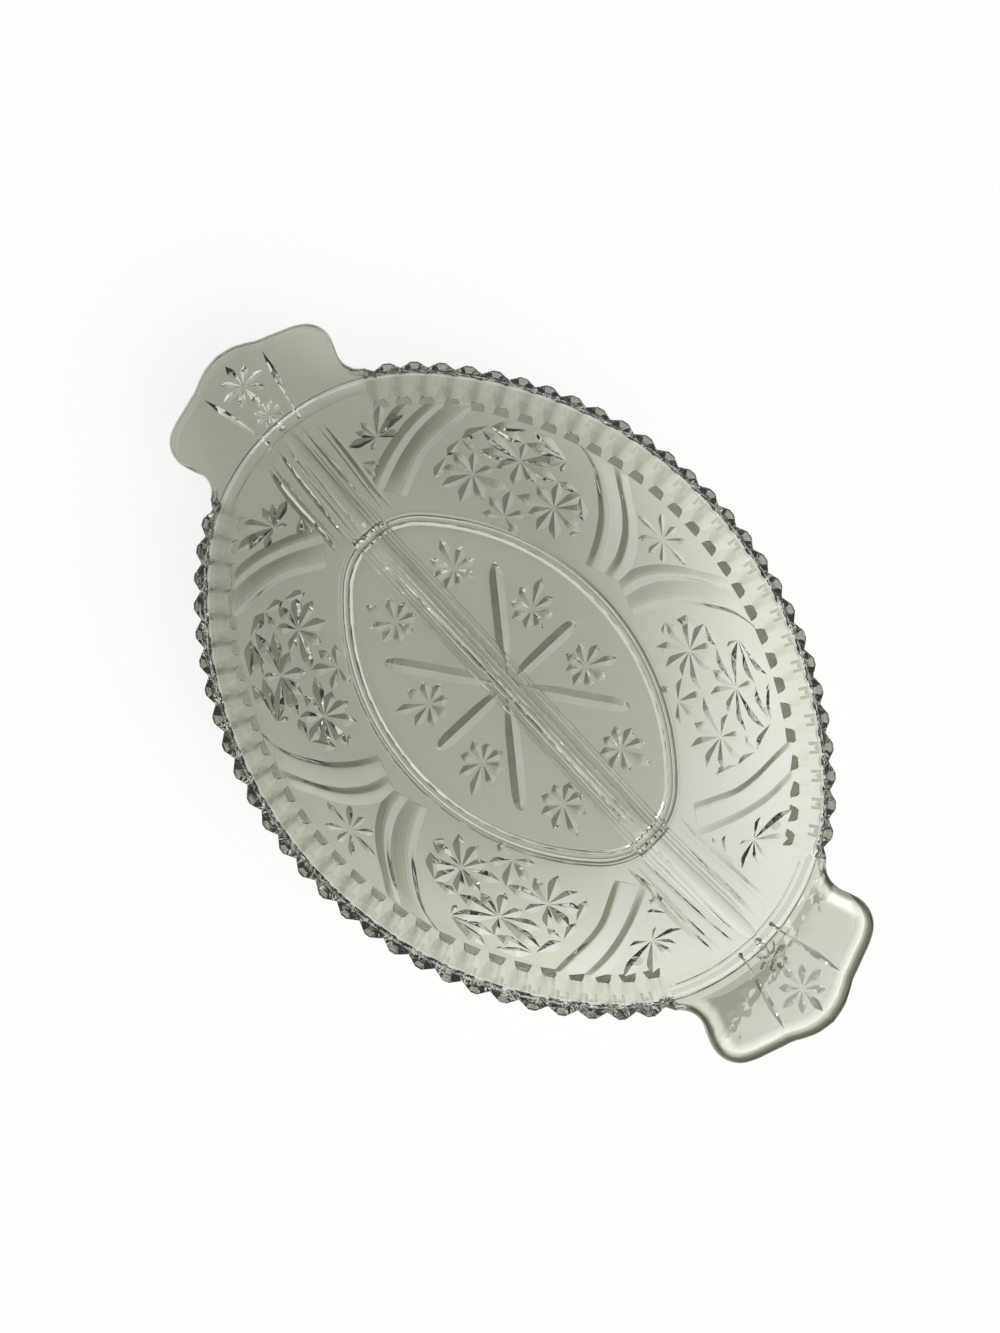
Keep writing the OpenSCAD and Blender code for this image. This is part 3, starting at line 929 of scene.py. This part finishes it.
def pressed_glass():
    """Clear glass with a faint grey-green tint, the soft ripple of a fire polish, and painted shade and
    highlight on each cut facet.
    """
    material = bpy.data.materials.new("pressed_glass_clear")
    material.use_nodes = True
    tree = material.node_tree
    nodes = tree.nodes
    links = tree.links
    shader = nodes["Principled BSDF"]
    shader.inputs["Transmission Weight"].default_value = 1.0
    shader.inputs["IOR"].default_value = 1.5
    shader.inputs["Roughness"].default_value = 0.02
    place = nodes.new("ShaderNodeTexCoord").outputs["Object"]
    tint = ramp(tree, noise(tree, place, CLOUD_SCALE, 2.0), GLASS_TINTS)
    facet = nodes.new("ShaderNodeAttribute")
    facet.attribute_name = "cut_tone"
    # painted shade and painted highlight of each facet, multiplied into the tint
    depth = ramp(tree, facet.outputs["Fac"], TONE_STOPS)
    join = nodes.new("ShaderNodeMix")
    join.data_type = "RGBA"
    join.blend_type = "MULTIPLY"
    join.clamp_result = True
    join.inputs["Factor"].default_value = 1.0
    links.new(tint, join.inputs["A"])
    links.new(depth, join.inputs["B"])
    links.new(join.outputs["Result"], shader.inputs["Base Color"])
    bump = nodes.new("ShaderNodeBump")
    bump.inputs["Strength"].default_value = 0.12
    bump.inputs["Distance"].default_value = 0.0006
    links.new(noise(tree, place, RIPPLE_SCALE, 2.5), bump.inputs["Height"])
    links.new(bump.outputs["Normal"], shader.inputs["Normal"])
    return material


# The plan direction towards the window's side. Cut facets are painted with shade and highlight by it: a
# facet turned to it gets painted shade, one turned from it a painted highlight.
SHADE_WAY = Vector((0.95, 0.31, 0.0))
# Painted tones, multiplied into the glass's colour: 0.5 is plain, lower is painted shade, higher is
# painted highlight; DARKEST_CUT is the deepest painted shade of a cut
PLAIN_TONE = 0.5
DARKEST_CUT = 0.07
# The handles: painted shade over the right handle (HANDLE_TONE), a painted dark outline over
# HANDLE_EDGE and a painted light band (BAND_TONE) over HANDLE_BAND; the far handle plain
HANDLE_TONE = 0.23
FAR_HANDLE_TONE = 0.5
HANDLE_EDGE = (1.3, 2.2)
HANDLE_BAND = (3.8, 5.4)
BAND_TONE = 0.56
# How much painted light the wall gets on its side towards SHADE_WAY
BRIGHT_SIDE = 0.45
# How strongly each kind of facet is painted darker or lighter by SHADE_WAY, and how far from the end
# centre each lies
UNDER_REACH = 25.3
RING_SHADE = 1.8
FLOOR_SHADE = 1.15
HANDLE_SHADE = 0.85
DIVIDER_HALF = 6.2
DIVIDER_SHADE = 0.36
# The rim's top outside the lip: painted shade, deeper on the side towards SHADE_WAY
RIM_TONE = PLAIN_TONE - 0.06
RIM_SHADE = 0.17
# The half-moons: painted dark shade, deeper on the side towards SHADE_WAY
MOON_REACH = (53.2, 57.0)
MOON_TONE = 0.14
MOON_SHADE = 0.36
# The groove flanks, the rim band, the edge and the cuts: painted shade and highlight by how they lean
# to SHADE_WAY
NOTCH_REACH = (53.2, 58.5)
BAND_REACH = (54.0, 57.5)
BAND_SHADE = 0.55
EDGE_SHADE = 0.25
CUT_SHADE = 1.75
# How near a facet's normal lies to a half-moon's, and how flat a groove's flank may stand
MOON_MATCH = 0.998
FLANK_MATCH = 0.12
RIDGE_END = END_C + MOUTH_R - 3


def handle_gap(place, outline):
    """How far a place on a handle lies inside the handle's outline."""
    spot = Vector((abs(place.x), abs(place.y), 0))
    best = 1000.0
    for a, b in zip(outline, outline[1:]):
        run = b - a
        share = min(1.0, max(0.0, (spot - a).dot(run) / run.length_squared))
        best = min(best, (a + run * share - spot).length)
    return best


def ramped(value, low, high):
    return eased(min(1.0, max(0.0, (value - low) / (high - low))))


def painted_handle_shading(place, normal, outline):
    """The right handle: a painted dark outline, a painted light band inside it, and painted shade over
    the glass within. The far handle stays plain; cut facets under either handle get painted shade and
    highlight by SHADE_WAY.
    """
    right = place.x > 0
    plain = HANDLE_TONE if right else FAR_HANDLE_TONE
    if right:
        gap = handle_gap(place, outline)
        edge = ramped(gap, *HANDLE_EDGE)
        tone = BAND_TONE * edge + (plain - BAND_TONE) * ramped(gap, *HANDLE_BAND)
    else:
        tone = plain
    # painted shade and highlight on the cut facets under a handle
    if normal.z < -0.2:
        tone -= HANDLE_SHADE * (normal + UP).dot(SHADE_WAY)
    return min(1.0, max(0.0, tone))


def oval_spot(place):
    """A place's bearing and distance from the end centre, as if on the back right quarter."""
    x, y = abs(place.x), abs(place.y)
    bearing = math.degrees(math.atan2(x, y + SIDE_BACK))
    if bearing > ARC_TURN:
        return math.degrees(math.atan2(x - END_C, y)), math.hypot(x - END_C, y)
    return bearing, math.hypot(x, y + SIDE_BACK) - SIDE_D


def painted_wall_shading(bearing, r, normal, out, flip):
    """Painted shade and highlight for a facet of the wall's outside: a half-moon, a groove, the rim
    band or a cut. The wall is painted lighter on its side towards SHADE_WAY.
    """
    toward = out.dot(SHADE_WAY)
    across = math.sin(SCOOP_STEEP)
    moon = Vector((out.x * across, out.y * across, -math.cos(SCOOP_STEEP)))
    # the half-moons: painted dark shade
    if MOON_REACH[0] < r < MOON_REACH[1] and normal.dot(moon) > MOON_MATCH:
        return max(0.0, MOON_TONE - MOON_SHADE * toward)
    share = min(1.0, max(0.0, (r - FOOT_R) / (EDGE_R - FOOT_R)))
    inward = wall_place(bearing, share)[2]
    lean = (normal + inward * flip).dot(SHADE_WAY)
    # painted light on the wall's side towards SHADE_WAY, and painted shade and highlight on facets by
    # their lean
    plain = PLAIN_TONE + BRIGHT_SIDE * max(0.0, toward)
    if NOTCH_REACH[0] < r < NOTCH_REACH[1] and abs(normal.dot(out)) < FLANK_MATCH:
        tone = plain
    elif r > BAND_REACH[0]:
        tone = plain - (BAND_SHADE if r < BAND_REACH[1] else EDGE_SHADE) * lean
    else:
        tone = plain - CUT_SHADE * lean * (2 * plain if lean > 0 else 1)
    return max(DARKEST_CUT, tone)


def painted_facet_shading(place, normal, bearing, r):
    """One painted shade or highlight for a whole facet anywhere but on a handle."""
    flip = Vector((math.copysign(1, place.x), math.copysign(1, place.y), 1))
    out = way_out(bearing) * flip
    on_ridge = abs(place.y) < DIVIDER_HALF and abs(place.x) < RIDGE_END
    # under the floor: painted shade and highlight by SHADE_WAY on the cut facets and the foot ring
    if r < UNDER_REACH and place.z < FLOOR_TOP - 0.3 and normal.z < 0.2:
        strength = RING_SHADE if r > FLOOR_R else FLOOR_SHADE
        return max(DARKEST_CUT, PLAIN_TONE - strength * (normal + UP).dot(SHADE_WAY))
    # the divider: painted shade on one flank, painted highlight on the other
    if on_ridge and place.z > FLOOR_TOP and normal.z > 0.05 and abs(normal.y) > 0.25:
        return PLAIN_TONE - DIVIDER_SHADE * normal.y
    # the mouth's lip: a painted highlight line
    if abs(r - MOUTH_R - 0.5) < 0.8 and place.z > TRAY_HEIGHT - 0.8:
        return 1.0
    # the rim's top: painted shade, deeper towards SHADE_WAY
    if r > MOUTH_R + 1.6 and bearing <= 90 - ROOT_TURN:
        return RIM_TONE - RIM_SHADE * out.dot(SHADE_WAY)
    if r < EDGE_R - 1.0 and normal.z < 0.1:
        return painted_wall_shading(bearing, r, normal, out, flip)
    return PLAIN_TONE


def paint_facet_shading(mesh):
    """Paints shade and highlight on each facet: 0.5 for plain faces, less as painted shade for facets
    turned to SHADE_WAY, more as painted highlight on the mouth's lip and on facets turned away.
    """
    tones = mesh.attributes.new("cut_tone", "FLOAT", "CORNER")
    values = []
    outline = spline([Vector((x, y, 0)) for x, y in HANDLE_OUTLINE], HANDLE_STATIONS)
    for face in mesh.polygons:
        place = face.center / MM
        bearing, r = oval_spot(place)
        on_handle = bearing > 90 - ROOT_TURN and r > EDGE_R + 2.0
        if on_handle and place.z > HANDLE_UNDER - 0.3:
            for v in face.vertices:
                values.append(painted_handle_shading(mesh.vertices[v].co / MM, face.normal, outline))
        else:
            values += [min(1.0, painted_facet_shading(place, face.normal, bearing, r))] * face.loop_total
    tones.data.foreach_set("value", values)


# Edges that turn more than this many degrees read as cut edges
SHARP_EDGE = 20


def build_tray(glass):
    """Cuts the blank with the node tree and gives the finished glass as a plain mesh."""
    blank = tray_blank()
    ridge = divider_ridge()
    outward(blank)
    leaf = mitre_shape("leaf_cut", LEAF_OUTLINE)
    petal = mitre_shape("petal_cut", PETAL_OUTLINE)
    groove = groove_shape()
    scoop = scoop_shape()
    wall = all_quarters(wall_cuts())
    middle = middle_star_cuts()
    wall += middle + mirrored(middle, False, True)
    teeth = tooth_grooves()
    carriers = [
        (cut_points("tooth_groove_points", teeth), groove, False),
        (cut_points("scoop_points", teeth), scoop, False),
        (cut_points("sunburst_points", sunburst_cuts()), petal, True),
        (cut_points("floor_star_points", floor_star_cuts()), leaf, True),
        (cut_points("divider_reed_points", divider_reeds()), petal, True),
        (cut_points("wall_cut_points", wall), leaf, True),
        (cut_points("handle_cut_points", handle_cuts()), leaf, True),
    ]
    sweeps = []
    for piece in arch_flutes() + end_bars():
        sweeps.append(piece)
        for across_x, across_y in ((True, False), (False, True), (True, True)):
            sweeps.append(copy_quarter(piece, across_x, across_y))
    tree = cut_tree("tray_cuts", carriers, sweeps, ridge, glass)
    modifier = blank.modifiers.new("cuts", "NODES")
    modifier.node_group = tree
    for socket in tree.interface.items_tree:
        if socket.in_out == "INPUT" and socket.name in CUT_SCALE:
            modifier[socket.identifier] = CUT_SCALE[socket.name]
    depsgraph = bpy.context.evaluated_depsgraph_get()
    mesh = bpy.data.meshes.new_from_object(blank.evaluated_get(depsgraph))
    mesh.name = "relish_tray_glass"
    tray = in_scene("relish_tray_glass", mesh)
    blank.modifiers.clear()
    for piece in [blank, ridge, leaf, petal, groove, scoop] + [c[0] for c in carriers] + sweeps:
        bpy.data.objects.remove(piece)
    work = bmesh.new()
    work.from_mesh(mesh)
    open_edges = sum(1 for e in work.edges if not e.is_manifold)
    print("tray:", len(work.faces), "faces,", open_edges, "open edges,",
          round(work.calc_volume() * 1e9), "mm3")
    work.free()
    mesh.materials.clear()
    mesh.materials.append(glass)
    # painted shade and highlight on each facet
    paint_facet_shading(mesh)
    mesh.shade_smooth()
    mesh.set_sharp_from_angle(angle=math.radians(SHARP_EDGE))
    return tray


# How much of the floor's white stands without any light: seen straight, and through the glass
SEEN_STRAIGHT = 0.84
SEEN_BENT = 0.26
SEEN_NEAR_WINDOW = 0.68
FAR_TONE = 0.12
FLOOR_HALF = 3000.0
# In metres from the tray's middle: where the table ends, and the run towards the window
TABLE_EDGE = (0.25, 0.55)
WINDOW_RUN = (-0.03, 0.13)


def background_looks(tree, path):
    """1 where a ray sees the background: straight, mirrored or through the glass."""
    direct = combined(tree, "MAXIMUM", path.outputs["Is Camera Ray"], path.outputs["Is Glossy Ray"])
    return combined(tree, "MAXIMUM", direct, path.outputs["Is Transmission Ray"])


def studio_floor():
    """A wide white floor. Straight and refracted looks see it white, and it keeps a shadow."""
    corners = ((-1, -1), (1, -1), (1, 1), (-1, 1))
    points = [Vector((x * FLOOR_HALF, y * FLOOR_HALF, 0)) for x, y in corners]
    ground = mesh_object("studio_floor", points, [(0, 1, 2, 3)])
    material = bpy.data.materials.new("studio_floor_white")
    material.use_nodes = True
    tree = material.node_tree
    nodes = tree.nodes
    links = tree.links
    nodes.clear()
    out = nodes.new("ShaderNodeOutputMaterial")
    matt = nodes.new("ShaderNodeBsdfDiffuse")
    spot = nodes.new("ShaderNodeTexCoord").outputs["Object"]
    flat = nodes.new("ShaderNodeVectorMath")
    flat.operation = "LENGTH"
    links.new(spot, flat.inputs[0])
    distance = flat.outputs["Value"]

    # past the table's edge the room is dimmer for all but the camera
    table = eased_range(tree, distance, TABLE_EDGE, (1.0, FAR_TONE))
    paint = nodes.new("ShaderNodeMix")
    paint.data_type = "RGBA"
    paint.inputs["A"].default_value = (0, 0, 0, 1)
    paint.inputs["B"].default_value = (0.9, 0.9, 0.9, 1)
    links.new(table, paint.inputs["Factor"])
    links.new(paint.outputs["Result"], matt.inputs["Color"])
    glow = nodes.new("ShaderNodeEmission")
    glow.inputs["Color"].default_value = (1, 1, 1, 1)

    # looks through the glass see it lighter towards the window
    side = along_way(tree, spot, SHADE_WAY)
    lighter = eased_range(tree, side, WINDOW_RUN, (SEEN_BENT, SEEN_NEAR_WINDOW))
    path = nodes.new("ShaderNodeLightPath")
    bent = combined(tree, "MULTIPLY", background_looks(tree, path),
                    combined(tree, "MULTIPLY", table, lighter))

    # beyond the shadow the camera sees plain white
    beyond = eased_range(tree, distance, TABLE_EDGE, (SEEN_STRAIGHT, 1.0))
    straight = combined(tree, "MULTIPLY", path.outputs["Is Camera Ray"], beyond)
    mix = nodes.new("ShaderNodeMixShader")
    links.new(combined(tree, "MAXIMUM", bent, straight), mix.inputs["Fac"])
    links.new(matt.outputs["BSDF"], mix.inputs[1])
    links.new(glow.outputs["Emission"], mix.inputs[2])
    links.new(mix.outputs["Shader"], out.inputs["Surface"])
    ground.data.materials.append(material)
    return ground


def soft_lamp(name, place, target, size, power):
    light = bpy.data.lights.new(name, "AREA")
    light.shape = "RECTANGLE"
    light.size = size[0]
    light.size_y = size[1]
    light.energy = power
    lamp = in_scene(name, light)
    lamp.location = place
    way = Vector(target) - Vector(place)
    lamp.rotation_euler = way.to_track_quat("-Z", "Y").to_euler()
    return lamp


# The way to the bright side of the room: over the tray's right end
WINDOW_WAY = (0.75, 0.0, 0.66)
# The room's brightness from the far side round to the window
ROOM_TONES = ((0.50, 0.12), (0.75, 0.26), (0.90, 0.9), (0.96, 3.4))
LAMP_PLACE = (0.549, 0.122, 1.24)
LAMP_SIZE = (0.34, 0.12)
LAMP_POWER = 0.7


def studio_light():
    world = bpy.data.worlds.new("studio_grey")
    bpy.context.scene.world = world
    world.use_nodes = True
    tree = world.node_tree
    nodes = tree.nodes
    links = tree.links
    back = nodes["Background"]
    back.inputs["Strength"].default_value = 1.0
    way = nodes.new("ShaderNodeTexCoord").outputs["Generated"]
    spread = nodes.new("ShaderNodeMapRange")
    spread.inputs["From Min"].default_value = -1.0
    spread.inputs["From Max"].default_value = 1.0
    links.new(along_way(tree, way, WINDOW_WAY), spread.inputs["Value"])
    middle = [(place, (tone, tone, tone * 0.97)) for place, tone in ROOM_TONES]
    room = ramp(tree, spread.outputs["Result"],
                [(0.0, (0.05, 0.055, 0.045)), *middle, (1.0, (7.2, 7.2, 7.05))])

    # the room is dark near the table and opens upwards
    height = nodes.new("ShaderNodeSeparateXYZ")
    links.new(way, height.inputs["Vector"])
    dim = nodes.new("ShaderNodeVectorMath")
    dim.operation = "SCALE"
    links.new(room, dim.inputs[0])
    links.new(eased_range(tree, height.outputs["Z"], (0.12, 0.62), (0.12, 1.0)), dim.inputs["Scale"])

    # seen straight, reflected or through the glass, it is the photo's white ground
    path = nodes.new("ShaderNodeLightPath")
    plain = nodes.new("ShaderNodeMix")
    plain.data_type = "RGBA"
    plain.inputs["B"].default_value = (1, 1, 1, 1)
    links.new(background_looks(tree, path), plain.inputs["Factor"])
    links.new(dim.outputs["Vector"], plain.inputs["A"])
    links.new(plain.outputs["Result"], back.inputs["Color"])
    soft_lamp("window_lamp", LAMP_PLACE, (0, 0, 0), LAMP_SIZE, LAMP_POWER)


# The camera as solved on the tray: the ways to its right and down, and its place
CAMERA_RIGHT = Vector((0.6794, 0.7330, 0.0340))
CAMERA_DOWN = Vector((0.7279, -0.6673, -0.1578))
CAMERA_PLACE = Vector((6.1, -31.3, 344.8)) * MM
FOCAL_PIXELS = 1119.15
IMAGE_CENTRE = (483.87, 591.39)
IMAGE_SIZE = (1000.0, 1333.0)
SENSOR_WIDTH = 36.0


def studio_camera():
    data = bpy.data.cameras.new("photo_camera")
    camera = in_scene("photo_camera", data)
    right = CAMERA_RIGHT.normalized()
    up = (-CAMERA_DOWN - right * (-CAMERA_DOWN).dot(right)).normalized()
    back = right.cross(up)
    turn = Matrix((right, up, back)).transposed().to_4x4()
    camera.matrix_world = Matrix.Translation(CAMERA_PLACE) @ turn
    data.sensor_fit = "HORIZONTAL"
    data.sensor_width = SENSOR_WIDTH
    data.lens = FOCAL_PIXELS * SENSOR_WIDTH / IMAGE_SIZE[0]
    data.shift_x = (IMAGE_SIZE[0] / 2 - IMAGE_CENTRE[0]) / IMAGE_SIZE[0]
    data.shift_y = (IMAGE_CENTRE[1] - IMAGE_SIZE[1] / 2) / IMAGE_SIZE[0]
    data.clip_start = 0.01
    data.clip_end = 20.0
    bpy.context.scene.camera = camera


def main():
    glass = pressed_glass()
    tray = build_tray(glass)
    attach(tray, "root")
    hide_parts(*[subpart["node"] for subpart in frame["record"]["subparts"]])
    studio_floor()
    studio_light()
    studio_camera()
    bpy.context.scene.view_settings.view_transform = "Standard"


main()
